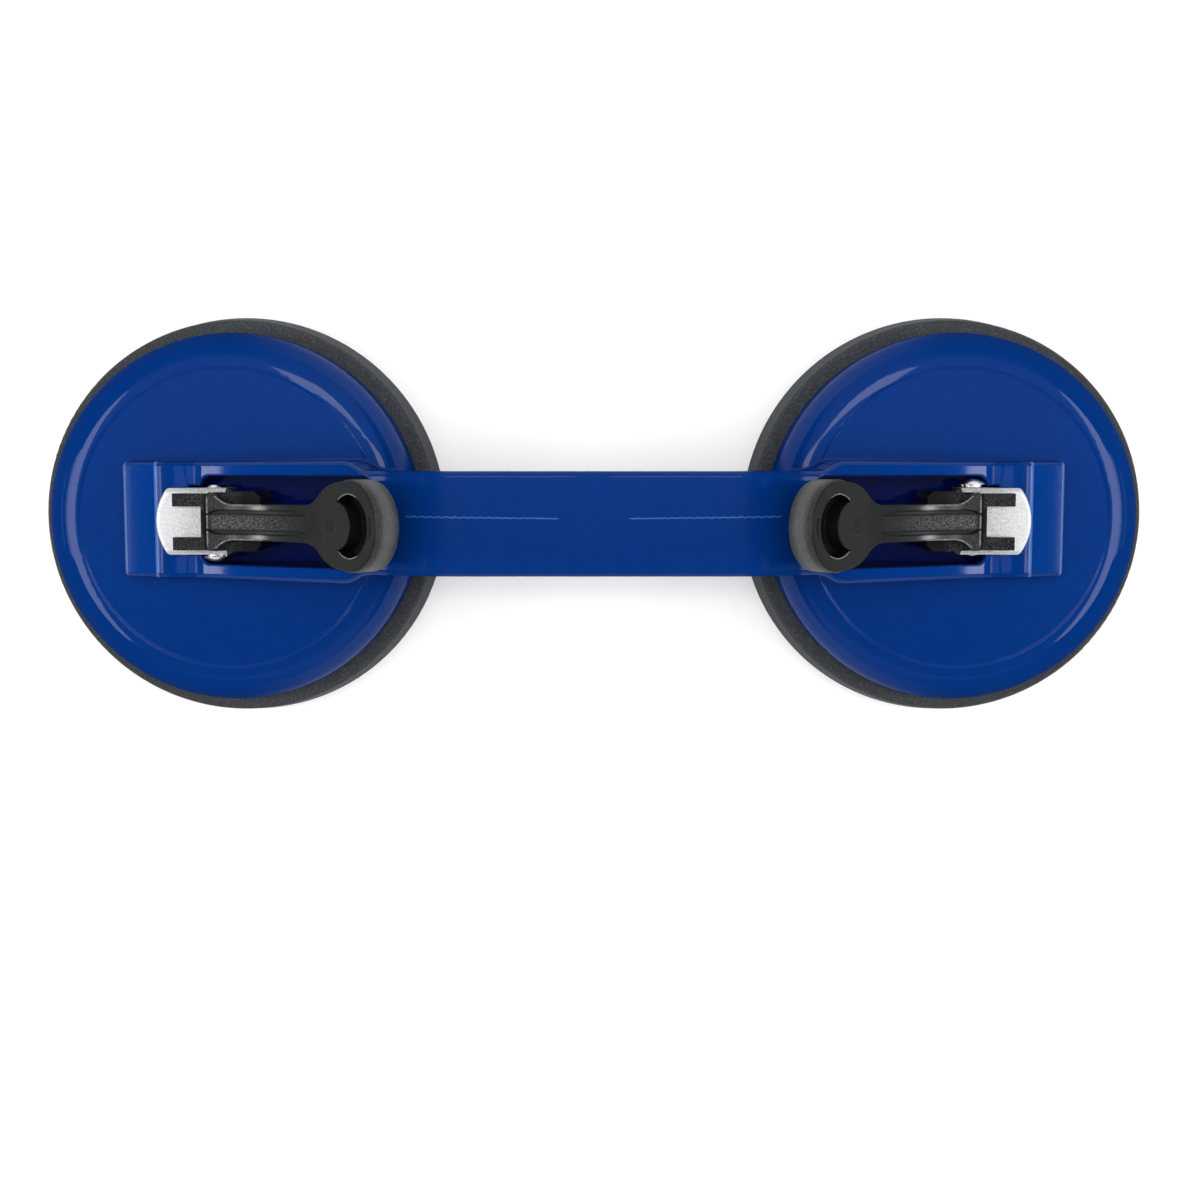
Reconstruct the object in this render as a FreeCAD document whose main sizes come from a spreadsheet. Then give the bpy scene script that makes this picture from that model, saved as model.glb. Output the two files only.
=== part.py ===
import FreeCAD, Part
import math
import os
from types import SimpleNamespace

import Sketcher

# Floor tile suction lifter with two lever-drawn rubber pads under one cast handle.
# X runs along the handle, Z is up from the floor that the pads stand on, lengths are
# millimetres. The two ends are the same, turned half a turn about Z. What belongs to one
# end is drawn in that end's own frame: the origin under the pad's centre, X towards the
# middle of the handle.

os.makedirs("parts", exist_ok=True)
doc = FreeCAD.newDocument("floor_tile_suction_lifter")

SIZES = {
    # places shared by several pieces
    "cup_spacing": 206.5,         # between the centres of the two pads
    "pin_height": 33.6,           # pivot pin above the floor, lever pressed home
    "free_gap": 0.3,              # between pieces that move past each other
    "running_gap": 0.05,          # a pin or stem in its hole, on the radius
    # rubber pad
    "pad_foot_radius": 58.68,
    "pad_top_radius": 57.2,
    "pad_rim_height": 9.2,
    "pad_rim_round": 1.2,
    "pad_lip_width": 6.6,
    "pad_dome_rise": 3.4,
    "pad_boss_radius": 22.5,
    "pad_boss_rise": 4.0,
    "lip_groove_inset": 3.2,
    "lip_groove_width": 1.2,
    "lip_groove_depth": 0.9,
    # steel plate moulded into the pad
    "plate_radius": 17.0,
    "plate_thickness": 2.0,
    "plate_cover": 4.6,           # rubber under the plate
    "plate_hole_circle": 11.5,
    "plate_hole_radius": 2.0,
    # draw stem
    "stem_radius": 4.0,
    "stem_tail_radius": 3.0,
    "collar_radius": 6.0,
    "collar_thickness": 1.5,
    "eye_radius": 5.0,
    "eye_thickness": 6.2,
    # cap under each end of the handle
    "skirt_radius": 52.8,
    "crest_radius": 45.3,         # where the crown meets the shoulder
    "crest_height": 22.85,
    "crown_bend": 30.0,
    "step_radius": 42.8,
    "tray_radius": 41.9,
    "tray_height": 22.6,
    "cap_wall": 3.0,
    "bush_seat_radius": 10.5,
    "bush_seat_depth": 3.6,
    # bush that guides the stem
    "bush_radius": 6.0,
    "bush_flange_radius": 8.5,
    "bush_flange_thickness": 1.2,
    # boss, ramp and handle
    "boss_reach": 28.15,
    "boss_half_width": 16.1,
    "boss_end_height": 27.8,
    "ledge_start": 16.5,
    "ledge_end": 8.5,
    "ledge_height": 31.8,
    "ramp_reach": 61.0,
    "handle_top": 59.2,
    "handle_depth": 21.2,
    "handle_width": 26.9,
    "neck_start": 37.0,
    "neck_length": 8.5,
    "arch_radius": 35.0,
    "arch_foot_reach": 49.0,
    "arch_foot_height": 19.0,
    "brow_radius": 2.5,
    "ledge_edge_radius": 5.0,
    "ramp_foot_radius": 25.0,
    "ramp_head_radius": 40.0,
    "top_edge_radius": 1.4,
    "crease_radius": 0.8,
    "grip_edge_radius": 2.5,
    "cell_wall": 4.2,
    "cell_roof": 4.5,
    "cell_rib": 3.0,
    "cell_length": 19.0,
    # slot that the lever works in
    "slot_half_width": 12.1,
    "slot_outer_reach": 4.5,
    "slot_inner_reach": 46.0,
    "slot_corner": 3.0,
    "slot_edge_radius": 0.6,
    "ear_pocket_reach": 8.0,
    "ear_pocket_gap": 0.45,
    # wear plate that the cams press on
    "wear_thickness": 1.2,
    "wear_reach": 12.2,
    "wear_half_width": 7.9,
    # cam on the lever
    "cam_radius": 8.0,
    "cam_offset": 6.88,           # centre of the cam from the pin
    "pull_stroke": 2.8,           # how far the stem is drawn up
    # steel clip
    "sheet": 1.2,
    "clip_half_width": 8.95,
    "clip_rise": 9.4,             # top of the clip above the pin
    "clip_tail_reach": 13.75,
    "clip_tail_bulge": 3.0,
    "clip_corner_radius": 1.5,
    "clip_web_reach": 0.5,
    "clip_front_reach": 5.2,
    "clip_skirt": 1.8,
    "clip_bend": 1.1,
    "ear_shoulder": 6.5,
    # plastic lever
    "cheek_half_width": 7.5,
    "cheek_shoulder": 8.9,        # half width in front of the clip's ears
    "cheek_nose": 8.0,
    "shoulder_reach": 5.9,
    "shoulder_rise": 3.0,         # underside of the shoulders above the pin
    "nose_start": 7.0,
    "nose_reach": 14.3,
    "nose_corner": 1.5,
    "eye_slot_gap": 0.4,
    "prong_outer": 7.54,
    "prong_inner": 4.1,
    "prong_tip": 8.35,
    "prong_root": 0.85,
    "prong_height": 2.5,
    "bar_length": 1.65,
    "arm_end_reach": 34.95,
    "arm_end_rise": 29.2,         # top of the arm's end above the pin
    "arm_top_radius": 72.5,
    "arm_under_radius": 70.0,
    "arm_half_width": 4.8,
    "flare_start": 2.0,
    "flare_reach": 8.4,
    "flare_share": 0.25,          # of the flare that curves outwards
    "web_reach": 29.0,
    "web_radius": 5.6,
    "web_end_reach": 33.8,
    "web_half_width": 7.2,
    "brace_radius": 9.5,
    "groove_inner": 2.05,
    "groove_outer": 3.2,
    "groove_lead": 4.0,           # over which a groove widens or closes
    "groove_end_reach": 30.5,
    "groove_depth": 0.8,
    # finger ring at the end of the lever
    "ring_radius": 11.5,
    "ring_thickness": 7.2,
    "ring_reach": 43.0,
    "ring_rise": 36.9,            # middle of its top face above the pin
    "ring_tilt": 44.0,            # degrees
    "ring_edge_radius": 0.7,
    "pocket_radius": 7.8,
    "pocket_depth": 3.9,
    "tongue_radius": 6.0,
    "tongue_tip": 0.7,
    # rivet
    "pin_radius": 1.9,
    "head_radius": 3.9,
    "head_height": 1.65,
    "tail_radius": 2.7,
    "tail_height": 0.7,
    "washer_thickness": 0.9,
    "washer_radius": 2.75,
    "washer_teeth": 10,
    "washer_notch": 0.3,
}

sheet = doc.addObject("Spreadsheet::Sheet", "Sizes")
for row, (alias, number) in enumerate(SIZES.items(), start=1):
    sheet.set(f"A{row}", alias)
    sheet.set(f"B{row}", str(number))
    sheet.setAlias(f"B{row}", alias)
doc.recompute()


class Size:
    """A length as the expression that binds it to the sheet, and its number now."""

    def __init__(self, text, number):
        self.text = text
        self.number = float(number)

    def __add__(self, other):
        other = sized(other)
        return Size(f"({self.text} + {other.text})", self.number + other.number)

    def __sub__(self, other):
        other = sized(other)
        return Size(f"({self.text} - {other.text})", self.number - other.number)

    def __mul__(self, other):
        other = sized(other)
        return Size(f"({self.text} * {other.text})", self.number * other.number)

    def __truediv__(self, other):
        other = sized(other)
        return Size(f"({self.text} / {other.text})", self.number / other.number)

    def __rsub__(self, other):
        return sized(other) - self

    def __rmul__(self, other):
        return self * other

    def __neg__(self):
        return Size(f"(0 - {self.text})", -self.number)


def sized(value):
    return value if isinstance(value, Size) else Size(str(value), value)


def root(value):
    return Size(f"sqrt({value.text})", math.sqrt(value.number))


def sine(angle):
    return Size(f"sin({angle.text})", math.sin(math.radians(angle.number)))


def cosine(angle):
    return Size(f"cos({angle.text})", math.cos(math.radians(angle.number)))


s = SimpleNamespace(**{alias: Size(f"Sizes.{alias}", number) for alias, number in SIZES.items()})

# Places that several pieces share, worked out from the driving sizes.
cup_offset = s.cup_spacing / 2
handle_bottom = s.handle_top - s.handle_depth
seat_height = s.pin_height - s.cam_radius - s.free_gap
slot_floor = seat_height - s.wear_thickness
ear_pocket_half_width = s.clip_half_width + s.ear_pocket_gap
plate_bottom = s.pad_dome_rise + s.plate_cover
plate_top = plate_bottom + s.plate_thickness
bush_seat = s.tray_height - s.cap_wall - s.bush_seat_depth
bush_top = seat_height - 1.3 * s.free_gap
clip_top = s.pin_height + s.clip_rise
web_under = clip_top - s.sheet
hub_radius = s.cam_radius - s.pull_stroke
pin_hole = s.pin_radius + s.running_gap
washer_face = s.clip_half_width + s.washer_thickness


def new_body(label):
    body = doc.addObject("PartDesign::Body", label)
    body.Label = label
    return body


def set_at_end(piece, side):
    """Move a piece from its end's own frame to that end of the lifter."""
    turn, place = {"left": (0, -cup_offset), "right": (180, cup_offset)}[side]
    piece.Placement = FreeCAD.Placement(
        FreeCAD.Vector(0, 0, 0), FreeCAD.Rotation(FreeCAD.Vector(0, 0, 1), turn))
    piece.setExpression("Placement.Base.x", place.text)
    return piece


def new_sketch(body, name, plane, height=None):
    """A sketch on one of the body's own origin planes, lifted off it by height."""
    sketch = body.newObject("Sketcher::SketchObject", name)
    support = [f for f in body.Origin.OriginFeatures if f.Role == plane][0]
    sketch.AttachmentSupport = (support, [""])
    sketch.MapMode = "FlatFace"
    if height is not None:
        sketch.setExpression("AttachmentOffset.Base.z", height.text)
        sketch.AttachmentOffset = FreeCAD.Placement(
            FreeCAD.Vector(0, 0, height.number), FreeCAD.Rotation())
    return sketch


def pin_down(sketch, geometry, point, place, direction):
    """Hold one point of a sketch at its distance from the origin along one axis."""
    if place.number == 0 and place.text in ("0", "0.0"):
        axis = -2 if direction == "DistanceX" else -1
        sketch.addConstraint(Sketcher.Constraint("PointOnObject", geometry, point, axis))
        return
    index = sketch.addConstraint(
        Sketcher.Constraint(direction, -1, 1, geometry, point, place.number))
    sketch.setExpression(f"Constraints[{index}]", place.text)


def outline(sketch, points):
    """A closed outline. A point is (x, y) or (x, y, bend): the stretch that starts there
    is then an arc of radius bend, turning left if it is positive and right if negative."""
    places = [(sized(p[0]), sized(p[1])) for p in points]
    bends = [sized(p[2]) if len(p) > 2 else None for p in points]
    corners = [FreeCAD.Vector(x.number, y.number, 0) for x, y in places]
    first = sketch.GeometryCount
    for index, bend in enumerate(bends):
        start = corners[index]
        end = corners[(index + 1) % len(corners)]
        if bend is None:
            sketch.addGeometry(Part.LineSegment(start, end), False)
            continue
        chord = end - start
        radius = abs(bend.number)
        bulge = radius - math.sqrt(max(radius ** 2 - (chord.Length / 2) ** 2, 0))
        side = FreeCAD.Vector(chord.y, -chord.x, 0).normalize()
        if bend.number < 0:
            side = -side
        sketch.addGeometry(Part.Arc(start, (start + end) / 2 + side * bulge, end), False)
    count = len(points)
    ends = []
    for index, bend in enumerate(bends):
        turned = bend is not None and bend.number < 0
        ends.append((2, 1) if turned else (1, 2))
    for index in range(count):
        following = (index + 1) % count
        sketch.addConstraint(Sketcher.Constraint(
            "Coincident", first + index, ends[index][1], first + following, ends[following][0]))
    for index, (x, y) in enumerate(places):
        pin_down(sketch, first + index, ends[index][0], x, "DistanceX")
        pin_down(sketch, first + index, ends[index][0], y, "DistanceY")
    for index, bend in enumerate(bends):
        if bend is not None:
            size = bend if bend.number > 0 else -bend
            constraint = sketch.addConstraint(
                Sketcher.Constraint("Radius", first + index, size.number))
            sketch.setExpression(f"Constraints[{constraint}]", size.text)


def ogee(x, y, run, rise, share, along, up):
    """Two arcs that leave (x, y) and arrive along X. The first takes its share of the run,
    and along and up are 1 or -1 for the way that the line goes in X and in Y."""
    reach = (run * run + rise * rise) / (2 * rise)
    turn = along * up
    return [
        (x, y, turn * (share * reach)),
        (x + along * (share * run), y + up * (share * rise), -turn * ((1 - share) * reach)),
    ]


def circle(sketch, x, y, radius):
    x, y, radius = sized(x), sized(y), sized(radius)
    centre = FreeCAD.Vector(x.number, y.number, 0)
    index = sketch.addGeometry(
        Part.Circle(centre, FreeCAD.Vector(0, 0, 1), radius.number), False)
    pin_down(sketch, index, 3, x, "DistanceX")
    pin_down(sketch, index, 3, y, "DistanceY")
    constraint = sketch.addConstraint(Sketcher.Constraint("Radius", index, radius.number))
    sketch.setExpression(f"Constraints[{constraint}]", radius.text)


def rectangle(sketch, low_x, low_y, high_x, high_y):
    outline(sketch, [(low_x, low_y), (high_x, low_y), (high_x, high_y), (low_x, high_y)])


def extrude(body, kind, name, sketch, length, both_ways=False, reverse=False):
    """Pad or pocket. With both_ways the length is shared by the two sides of the sketch."""
    feature = body.newObject(f"PartDesign::{kind}", name)
    feature.Profile = sketch
    feature.SideType = "Symmetric" if both_ways else "One side"
    feature.Reversed = reverse
    if length is None:
        feature.Type = "ThroughAll"
    else:
        feature.Length = length.number
        feature.setExpression("Length", length.text)
    return finish(body, feature, sketch)


def spin(body, kind, name, sketch, axis="V_Axis"):
    feature = body.newObject(f"PartDesign::{kind}", name)
    feature.Profile = sketch
    feature.ReferenceAxis = (sketch, [axis])
    feature.Angle = 360
    return finish(body, feature, sketch)


def finish(body, feature, sketch=None):
    """Build a feature and stop if it failed or, for a cut, removed nothing."""
    before = feature.BaseFeature.Shape.Volume if feature.BaseFeature else 0
    doc.recompute()
    if feature.isValid() is False or feature.Shape.isNull():
        raise RuntimeError(f"{body.Label}: {feature.Name} failed")
    cut = feature.TypeId.split("::")[1] in ("Pocket", "Groove")
    if cut and before - feature.Shape.Volume < 1e-3:
        raise RuntimeError(f"{body.Label}: {feature.Name} cuts nothing")
    if sketch is not None:
        sketch.Visibility = False
    return feature


def face_normal(face):
    low_u, high_u, low_v, high_v = face.ParameterRange
    return face.normalAt((low_u + high_u) / 2, (low_v + high_v) / 2)


def edges_between(shape, first, second, near=None):
    """Names of the edges that part a face passing the first test from one passing the
    second. A test takes a face and its normal."""
    found = []
    for index, edge in enumerate(shape.Edges, start=1):
        faces = shape.ancestorsOfType(edge, Part.Face)
        if len(faces) != 2 or (near and not near(edge)):
            continue
        (one, two) = [(face, face_normal(face)) for face in faces]
        if (first(*one) and second(*two)) or (first(*two) and second(*one)):
            found.append(f"Edge{index}")
    return found


def edges_where(shape, test):
    return [f"Edge{i}" for i, edge in enumerate(shape.Edges, start=1) if test(edge)]


def dress(body, kind, name, size, edges):
    """Round or bevel edges of what the body is so far."""
    if not edges:
        raise RuntimeError(f"{body.Label}: {name} found no edges")
    base = body.Tip
    feature = body.newObject(f"PartDesign::{kind}", name)
    feature.Base = (base, edges)
    setting = "Radius" if kind == "Fillet" else "Size"
    setattr(feature, setting, size.number)
    feature.setExpression(setting, size.text)
    return finish(body, feature)


def close_to(value, place):
    return abs(value - place.number) < 1e-3


def runs_along(edge, axis):
    """True for a straight edge along one axis, 0 for X, 1 for Y and 2 for Z."""
    if edge.Curve.TypeId != "Part::GeomLine":
        return False
    spread = (edge.BoundBox.XLength, edge.BoundBox.YLength, edge.BoundBox.ZLength)
    return all(size < 1e-3 for index, size in enumerate(spread) if index != axis)


def is_side(face, normal):
    return abs(normal.z) < 1e-3 and abs(normal.y) > 0.3


# Handle: one casting of two caps, two slotted bosses and the grip between them. Each half
# is drawn in its own end's frame, and the two are joined in the middle of the grip.

def handle_side_profile(sketch):
    boss_foot = s.tray_height - s.cap_wall / 2
    arch_rise = handle_bottom - s.arch_foot_height
    arch_run = root(s.arch_radius * s.arch_radius
                    - (s.arch_radius - arch_rise) * (s.arch_radius - arch_rise))
    outline(sketch, [
        (-s.boss_reach, boss_foot),
        (s.crest_radius, boss_foot),
        (s.arch_foot_reach, s.arch_foot_height, -s.arch_radius),
        (s.arch_foot_reach + arch_run, handle_bottom),
        (cup_offset, handle_bottom),
        (cup_offset, s.handle_top),
        (s.ramp_reach, s.handle_top),
        (-s.ledge_end, s.ledge_height),
        (-s.ledge_start, s.ledge_height),
        (-s.boss_reach, s.boss_end_height),
    ])


def handle_plan_margins(sketch):
    """What lies outside the plan of the boss, its neck and the grip."""
    grip_half = s.handle_width / 2
    step = s.boss_half_width - grip_half
    neck_end = s.neck_start + s.neck_length
    far = 2 * s.boss_half_width
    past = s.boss_reach + 5
    outline(sketch, [
        (-past, s.boss_half_width),
        *ogee(s.neck_start, s.boss_half_width, s.neck_length, step, 0.5, 1, -1),
        (neck_end, grip_half),
        (cup_offset + 5, grip_half),
        (cup_offset + 5, far),
        (-past, far),
    ])
    outline(sketch, [
        (-past, -s.boss_half_width),
        (-past, -far),
        (cup_offset + 5, -far),
        (cup_offset + 5, -grip_half),
        *ogee(neck_end, -grip_half, s.neck_length, step, 0.5, -1, -1),
        (s.neck_start, -s.boss_half_width),
    ])


def cap_section(sketch):
    """Half of the cap across its axis: a flat tray, a low step up to a crown that falls
    gently outwards, then the shoulder and the skirt."""
    lean = (s.crest_radius - s.step_radius) / s.crown_bend
    upright = root(1 - lean * lean)
    crest_end = s.crest_height - s.crown_bend * (1 - upright)
    shoulder = (s.skirt_radius - s.crest_radius) / (1 - lean)
    shoulder_end = crest_end - shoulder * upright
    inner_shoulder = shoulder - s.cap_wall
    skirt_inner = s.skirt_radius - s.cap_wall
    outline(sketch, [
        (0, bush_seat),
        (s.bush_seat_radius, bush_seat),
        (s.bush_seat_radius, s.tray_height - s.cap_wall),
        (s.tray_radius, s.tray_height - s.cap_wall),
        (s.skirt_radius - shoulder, shoulder_end + inner_shoulder, -inner_shoulder),
        (skirt_inner, shoulder_end),
        (skirt_inner, s.pad_rim_height),
        (s.skirt_radius, s.pad_rim_height),
        (s.skirt_radius, shoulder_end, shoulder),
        (s.crest_radius, crest_end, s.crown_bend),
        *ogee(s.step_radius, s.crest_height, s.step_radius - s.tray_radius,
              s.crest_height - s.tray_height, 0.5, -1, -1),
        (s.tray_radius, s.tray_height),
        (0, s.tray_height),
    ])


def slot_plan(sketch):
    """The lever's slot, and beyond its outer end the narrow pocket for the clip's ears."""
    half = s.slot_half_width
    narrow = ear_pocket_half_width
    corner = s.slot_corner
    outer = -s.slot_outer_reach
    tip = -s.ear_pocket_reach
    inner = s.slot_inner_reach
    round_start = half - corner
    shift = corner - root(corner * corner - (narrow - round_start) * (narrow - round_start))
    outline(sketch, [
        (tip, -narrow),
        (outer + shift, -narrow, corner),
        (outer + corner, -half),
        (inner - corner, -half, corner),
        (inner, -round_start),
        (inner, round_start, corner),
        (inner - corner, half),
        (outer + corner, half, corner),
        (outer + shift, narrow),
        (tip, narrow),
    ])


def grip_cells(sketch):
    half = s.handle_width / 2 - s.cell_wall
    low = -1 * s.cell_length
    for index in range(2):
        near = cup_offset - s.cell_rib / 2 - index * (s.cell_length + s.cell_rib)
        rectangle(sketch, near + low, -half, near, half)


def handle_half(label):
    half = new_body(label)
    profile = new_sketch(half, "handle_profile", "XZ_Plane")
    handle_side_profile(profile)
    extrude(half, "Pad", "handle_bar", profile, 2.2 * s.boss_half_width, both_ways=True)

    def corner(x, z):
        return lambda e: (runs_along(e, 1) and close_to(e.BoundBox.XMin, x)
                          and close_to(e.BoundBox.ZMin, z))
    rounds = [
        ("brow", s.brow_radius, -s.boss_reach, s.boss_end_height),
        ("ledge_edge", s.ledge_edge_radius, -s.ledge_start, s.ledge_height),
        ("ramp_foot", s.ramp_foot_radius, -s.ledge_end, s.ledge_height),
        ("ramp_head", s.ramp_head_radius, s.ramp_reach, s.handle_top),
    ]
    for name, radius, x, z in rounds:
        dress(half, "Fillet", name, radius, edges_where(half.Tip.Shape, corner(x, z)))

    margins = new_sketch(half, "handle_margins", "XY_Plane")
    handle_plan_margins(margins)
    extrude(half, "Pocket", "handle_sides", margins, None, reverse=True)

    def is_top(face, normal):
        return normal.z > 0.2 or normal.x < -0.99
    dress(half, "Fillet", "top_edges", s.top_edge_radius,
          edges_between(half.Tip.Shape, is_top, is_side))

    def is_under(face, normal):
        return normal.z < -0.2
    dress(half, "Fillet", "grip_edges", s.grip_edge_radius,
          edges_between(half.Tip.Shape, is_under, is_side,
                        lambda e: e.CenterOfMass.x > s.arch_foot_reach.number))

    section = new_sketch(half, "cap_section", "XZ_Plane")
    cap_section(section)
    spin(half, "Revolution", "cap", section)

    def on_cap(face, normal):
        return normal.z > 0.5 and face.BoundBox.ZMax < s.crest_height.number + 1e-3

    def is_boss_wall(face, normal):
        return abs(normal.z) < 1e-3 and face.BoundBox.ZMax > s.crest_height.number + 1e-3
    dress(half, "Fillet", "boss_foot", s.crease_radius,
          edges_between(half.Tip.Shape, on_cap, is_boss_wall))

    slot = new_sketch(half, "lever_slot", "XY_Plane", slot_floor)
    slot_plan(slot)
    extrude(half, "Pocket", "slot", slot, None, reverse=True)

    def is_slot_wall(face, normal):
        box = face.BoundBox
        return (abs(normal.z) < 1e-3 and close_to(box.ZMin, slot_floor)
                and max(abs(box.YMin), abs(box.YMax)) < s.slot_half_width.number + 0.1)

    def is_over_slot(face, normal):
        return normal.z > 0.2 and face.BoundBox.ZMax > s.ledge_height.number - 1
    dress(half, "Fillet", "slot_edges", s.slot_edge_radius,
          edges_between(half.Tip.Shape, is_over_slot, is_slot_wall))

    bore = new_sketch(half, "bush_bore", "XY_Plane")
    circle(bore, 0, 0, s.bush_radius + s.running_gap)
    extrude(half, "Pocket", "bush_hole", bore, None, reverse=True)

    cells = new_sketch(half, "grip_cells", "XY_Plane")
    grip_cells(cells)
    extrude(half, "Pocket", "cells", cells, s.handle_top - s.cell_roof, reverse=True)

    return half


def handle_body():
    whole = doc.addObject("Part::Fuse", "handle_body")
    whole.Base = set_at_end(handle_half("left_half"), "left")
    whole.Tool = set_at_end(handle_half("right_half"), "right")
    whole.Refine = True
    whole.Label = "handle_body"
    doc.recompute()
    return whole


# Rubber pad: thick rim outside the cap, shallow dome below, and a boss that holds the plate.

def suction_pad(label):
    body = new_body(label)
    section = new_sketch(body, "pad_section", "XZ_Plane")
    lip = s.pad_foot_radius - s.pad_lip_width
    dome = (lip * lip + s.pad_dome_rise * s.pad_dome_rise) / (2 * s.pad_dome_rise)
    plate_room = s.plate_radius + s.free_gap
    neck = s.collar_radius + s.free_gap
    boss_top = s.pad_rim_height + s.pad_boss_rise
    taper = s.pad_rim_height - s.pad_rim_round
    outline(section, [
        (0, s.pad_dome_rise, -dome),
        (lip, 0),
        (s.pad_foot_radius, 0),
        (s.pad_top_radius, taper, s.pad_rim_round),
        (s.pad_top_radius - s.pad_rim_round, s.pad_rim_height),
        (s.pad_boss_radius, s.pad_rim_height),
        (s.pad_boss_radius - s.pad_rim_round, boss_top),
        (neck, boss_top),
        (neck, plate_top),
        (plate_room, plate_top),
        (plate_room, plate_bottom),
        (0, plate_bottom),
    ])
    spin(body, "Revolution", "pad", section)
    groove = new_sketch(body, "lip_groove_section", "XZ_Plane")
    middle = s.pad_foot_radius - s.lip_groove_inset
    outline(groove, [
        (middle - s.lip_groove_width / 2, 0),
        (middle + s.lip_groove_width / 2, 0),
        (middle, s.lip_groove_depth),
    ])
    spin(body, "Groove", "lip_groove", groove)
    return body


def pad_plate(label):
    body = new_body(label)
    disc = new_sketch(body, "plate_disc", "XY_Plane", plate_bottom)
    circle(disc, 0, 0, s.plate_radius)
    circle(disc, 0, 0, s.stem_tail_radius)
    extrude(body, "Pad", "plate", disc, s.plate_thickness)
    hole = new_sketch(body, "bond_hole", "XY_Plane", plate_bottom)
    circle(hole, s.plate_hole_circle, 0, s.plate_hole_radius)
    pocket = extrude(body, "Pocket", "bond_holes", hole, s.plate_thickness, reverse=True)
    pattern = body.newObject("PartDesign::PolarPattern", "bond_hole_ring")
    pattern.Originals = [pocket]
    pattern.Axis = (hole, ["N_Axis"])
    pattern.Angle = 360
    pattern.Occurrences = 6
    body.Tip = pattern
    doc.recompute()
    return body


# Draw stem: riveted into the plate below, with flats and an eye for the pin above.

def draw_stem(label):
    body = new_body(label)
    section = new_sketch(body, "stem_section", "XZ_Plane")
    collar_top = plate_top + s.collar_thickness
    flats_start = bush_top
    outline(section, [
        (0, plate_bottom),
        (s.stem_tail_radius, plate_bottom),
        (s.stem_tail_radius, plate_top),
        (s.collar_radius, plate_top),
        (s.collar_radius, collar_top),
        (s.stem_radius, collar_top),
        (s.stem_radius, s.pin_height),
        (0, s.pin_height),
    ])
    spin(body, "Revolution", "stem", section)
    flats = new_sketch(body, "stem_flats", "YZ_Plane")
    far = 2 * s.stem_radius
    for side in (-1, 1):
        rectangle(flats, side * (s.eye_thickness / 2), flats_start,
                  side * far, s.pin_height + s.eye_radius)
    extrude(body, "Pocket", "flats", flats, 4 * s.stem_radius, both_ways=True)
    eye = new_sketch(body, "stem_eye", "XZ_Plane")
    circle(eye, 0, s.pin_height, s.eye_radius)
    extrude(body, "Pad", "eye", eye, s.eye_thickness, both_ways=True)
    hole = new_sketch(body, "stem_eye_hole", "XZ_Plane")
    circle(hole, 0, s.pin_height, pin_hole)
    extrude(body, "Pocket", "eye_hole", hole, 2 * s.eye_thickness, both_ways=True)
    return body


def stem_bush(label):
    body = new_body(label)
    section = new_sketch(body, "bush_section", "XZ_Plane")
    bore = s.stem_radius + s.running_gap
    outline(section, [
        (bore, bush_seat - s.bush_flange_thickness),
        (s.bush_flange_radius, bush_seat - s.bush_flange_thickness),
        (s.bush_flange_radius, bush_seat),
        (s.bush_radius, bush_seat),
        (s.bush_radius, bush_top),
        (bore, bush_top),
    ])
    spin(body, "Revolution", "bush", section)
    return body


def wear_plate(label):
    body = new_body(label)
    plan = new_sketch(body, "wear_plan", "XY_Plane", slot_floor)
    tip = s.free_gap - s.ear_pocket_reach
    rectangle(plan, tip, -s.wear_half_width, s.wear_reach, s.wear_half_width)
    circle(plan, 0, 0, s.bush_radius + s.free_gap)
    extrude(body, "Pad", "wear_sheet", plan, s.wear_thickness)
    return body


# Steel clip: a hood with a rounded tail and two ears that the rivet passes through.

def clip_plan(sketch, gap, front):
    half = s.clip_half_width - gap
    tail = s.clip_tail_reach - gap
    shoulder = tail - s.clip_tail_bulge
    bulge = (half * half + s.clip_tail_bulge * s.clip_tail_bulge) / (2 * s.clip_tail_bulge)
    outline(sketch, [
        (-shoulder, half, bulge),
        (-tail, 0, bulge),
        (-shoulder, -half),
        (front, -half),
        (front, half),
    ])


def lever_clip(label):
    body = new_body(label)
    plan = new_sketch(body, "hood_plan", "XY_Plane", clip_top - s.clip_skirt)
    clip_plan(plan, sized(0), s.clip_front_reach)
    extrude(body, "Pad", "hood", plan, s.clip_skirt)
    shoulder = s.clip_tail_bulge - s.clip_tail_reach
    dress(body, "Fillet", "tail_corners", s.clip_corner_radius,
          edges_where(body.Tip.Shape, lambda e: runs_along(e, 2)
                      and close_to(e.BoundBox.XMin, shoulder)))
    ears = new_sketch(body, "ear_profile", "XZ_Plane")
    reach = s.clip_front_reach
    outline(ears, [
        (-reach, s.pin_height, reach),
        (0, s.pin_height - reach, reach),
        (reach, s.pin_height),
        (reach, clip_top - s.clip_bend),
        (-s.ear_shoulder, clip_top - s.clip_bend),
    ])
    extrude(body, "Pad", "ears", ears, 2 * s.clip_half_width, both_ways=True)

    def is_top(face, normal):
        return normal.z > 0.99

    def is_wall(face, normal):
        return abs(normal.z) < 1e-3 and normal.x < 0.9
    dress(body, "Fillet", "bend", s.clip_bend, edges_between(body.Tip.Shape, is_top, is_wall))
    inside = new_sketch(body, "hood_inside", "XY_Plane", web_under)
    clip_plan(inside, s.sheet, 2 * s.clip_front_reach)
    extrude(body, "Pocket", "hollow", inside, None)
    front = new_sketch(body, "web_end", "XY_Plane", web_under)
    inner = s.clip_half_width - s.sheet
    rectangle(front, s.clip_web_reach, -inner, 2 * s.clip_front_reach, inner)
    extrude(body, "Pocket", "web_front", front, None, reverse=True)
    hole = new_sketch(body, "rivet_hole", "XZ_Plane")
    circle(hole, 0, s.pin_height, pin_hole)
    extrude(body, "Pocket", "rivet_holes", hole, 3 * s.clip_half_width, both_ways=True)
    return body


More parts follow.
